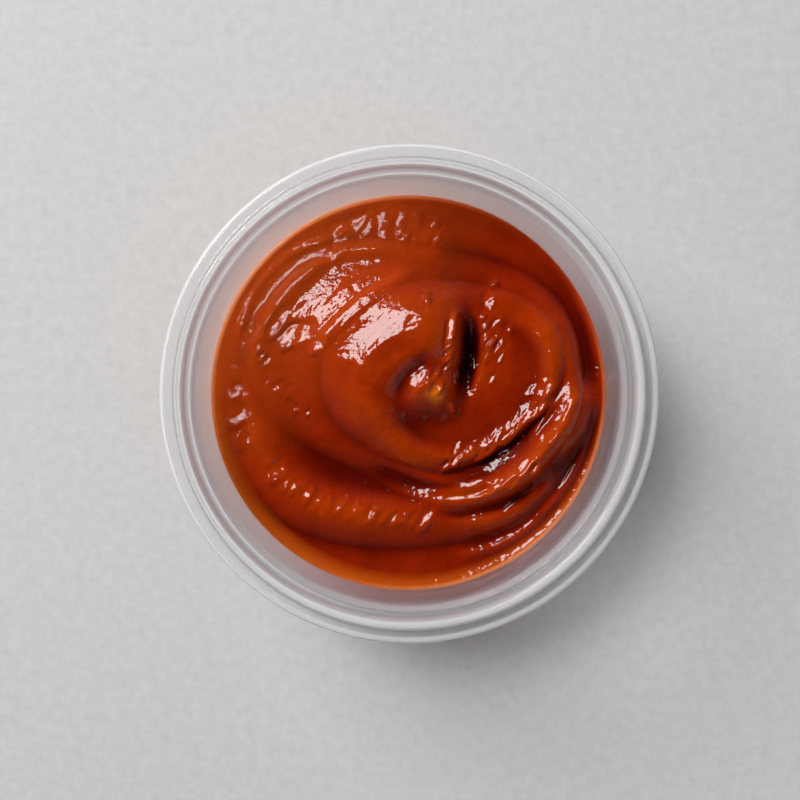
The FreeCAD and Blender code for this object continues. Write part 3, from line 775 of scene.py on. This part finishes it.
def sauce_material():
    material, n = new_material("chilli_sauce")
    where = n.add("TexCoord")["Object"]
    split = n.add("SeparateXYZ", {"Vector": where})
    radius, side = from_axis(n, split)
    top = over_sauce(n, split)
    # Painted shade: the color darkens into the creases by their depth.
    crease_shade = n.add("Attribute", attribute_name="crease_shade")["Fac"]
    blotch = n.noise(where, 260.0, 5.0, 0.6)
    color = n.mix(1.0, n.ramp(crease_shade, CREASE_SHADE_COLORS), n.ramp(blotch, BLOTCHES), "MULTIPLY")
    # Painted light: the strand that lies toward the key light is painted lighter and more orange,
    # standing in for light that falls on it and through it.
    toward = n.span(n.math("MULTIPLY", side, radius), PAINTED_LIGHT_REACH, PAINTED_LIGHT_MOST)
    color = n.mix(toward, color, PAINTED_LIGHT_COLOR)
    # Thin sauce at the wall is more orange, in a band that is widest toward the bottom left.
    shifted = n.math("MULTIPLY_ADD", split["X"], EDGE_LEAN[0], radius)
    shifted = n.math("MULTIPLY_ADD", split["Y"], EDGE_LEAN[1], shifted)
    edge = n.math("MULTIPLY", n.span(shifted, EDGE_REACH), top)
    color = n.mix(edge, color, EDGE_COLOR)
    # Painted highlight: a bright line where the sauce climbs the wall, toward the key light and
    # opposite it.
    facing = n.math("MULTIPLY", side, side)
    meniscus_highlight = n.math("MULTIPLY", n.span(radius, MENISCUS_HIGHLIGHT_REACH), facing)
    meniscus_highlight = n.math("MULTIPLY", meniscus_highlight, top)
    color = n.mix(meniscus_highlight, color, MENISCUS_HIGHLIGHT_COLOR)
    # Painted light: a glow on the curled tip, which is thin enough to let light through.
    to_tip = n.add("VectorMath", {0: where, 1: TIP_GLOW_PLACE}, operation="DISTANCE")["Value"]
    color = n.mix(n.span(to_tip, TIP_GLOW_REACH), color, TIP_GLOW_COLOR)
    grain = n.noise(where, 1500.0, 1.5)
    bump = n.add("Bump", {"Strength": top, "Distance": 0.00007, "Height": grain})["Normal"]
    body = n.add("BsdfPrincipled", {
        "Base Color": color, "Roughness": 0.085, "IOR": 1.35, "Normal": bump,
        "Subsurface Weight": 0.08, "Subsurface Radius": (1.0, 0.2, 0.05),
        "Subsurface Scale": 0.0008})["BSDF"]
    n.add("OutputMaterial", {"Surface": body})
    return material


CARD_COLORS = [(0.3, (0.61, 0.612, 0.605)), (0.7, (0.69, 0.692, 0.685))]


def floor_material():
    material, n = new_material("pale_card")
    where = n.add("TexCoord")["Object"]
    color = n.ramp(n.noise(where, 700.0, 5.0, 0.65), CARD_COLORS)
    body = n.add("BsdfPrincipled", {
        "Base Color": color, "Roughness": 0.85, "Specular IOR Level": 0.2})["BSDF"]
    n.add("OutputMaterial", {"Surface": body})
    return material


# ---------------------------------------------------------------- stage, lights and camera

FLOOR_HALF = 0.6

ROOM_COLORS = [(0.15, (0.60, 0.59, 0.58)), (0.75, (0.04, 0.04, 0.04))]
MIRRORED_LOSS = 0.65

CAMERA_LENS = 145.5
CAMERA_SENSOR = 36
CAMERA_CLIP = 0.01
CAMERA_PLACE = Vector((-0.0040, 0.0050, 0.430))
CAMERA_TARGET = Vector((-0.00118, -0.00074, TOP * MM))


def make_floor():
    corners = [(-1, -1), (1, -1), (1, 1), (-1, 1)]
    points = [(FLOOR_HALF * x, FLOOR_HALF * y, 0) for x, y in corners]
    floor = make_mesh("floor", points, [(0, 1, 2, 3)], smooth=False)
    floor.data.materials.append(floor_material())


def area_light(name, heading, elevation, distance, size, power):
    """A rectangular light that faces the origin, with its heading and elevation in degrees."""
    light = bpy.data.lights.new(name, "AREA")
    light.shape = "RECTANGLE"
    light.size, light.size_y = size
    light.energy = power
    lamp = bpy.data.objects.new(name, light)
    heading = math.radians(heading)
    elevation = math.radians(elevation)
    flat = math.cos(elevation)
    direction = Vector((flat * math.cos(heading), flat * math.sin(heading), math.sin(elevation)))
    lamp.location = direction * distance
    lamp.rotation_euler = (-direction).to_track_quat("-Z", "Y").to_euler()
    bpy.context.scene.collection.objects.link(lamp)


def light_room():
    """A room that is bright toward its walls and dark overhead."""
    world = bpy.data.worlds.new("room")
    n = Nodes(world)
    direction = n.add("TexCoord")["Generated"]
    height = n.add("SeparateXYZ", {"Vector": direction})["Z"]
    # Wet surfaces mirror less of the room than reaches them.
    mirrored = mirrored_share(n, n.add("LightPath"))
    strength = n.math("MULTIPLY_ADD", mirrored, -MIRRORED_LOSS, 1.0)
    background = n.add("Background", {"Color": n.ramp(height, ROOM_COLORS), "Strength": strength})
    n.add("OutputWorld", {"Surface": background["Background"]})
    bpy.context.scene.world = world


def place_camera():
    data = bpy.data.cameras.new("camera")
    data.lens = CAMERA_LENS
    data.sensor_width = CAMERA_SENSOR
    data.clip_start = CAMERA_CLIP
    camera = bpy.data.objects.new("camera", data)
    place = CAMERA_PLACE
    ahead = (CAMERA_TARGET - place).normalized()
    right = ahead.cross(Vector((0, 1, 0))).normalized()
    up = right.cross(ahead)
    camera.matrix_world = Matrix((
        (right.x, up.x, -ahead.x, place.x),
        (right.y, up.y, -ahead.y, place.y),
        (right.z, up.z, -ahead.z, place.z),
        (0, 0, 0, 1)))
    bpy.context.scene.collection.objects.link(camera)
    bpy.context.scene.camera = camera


sauce = make_sauce()
sauce.data.materials.append(sauce_material())
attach(sauce, "root")
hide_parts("sauce")

cup = make_cup()
cup.data.materials.append(plastic_material())
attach(cup, "root")
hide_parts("cup")

make_floor()
area_light("key", heading=135, elevation=46, distance=0.75, size=(0.31, 0.27), power=5.60)
area_light("fill", heading=-42, elevation=30, distance=0.70, size=(0.60, 0.40), power=0.30)
light_room()
place_camera()
bpy.context.scene.view_settings.view_transform = "Standard"
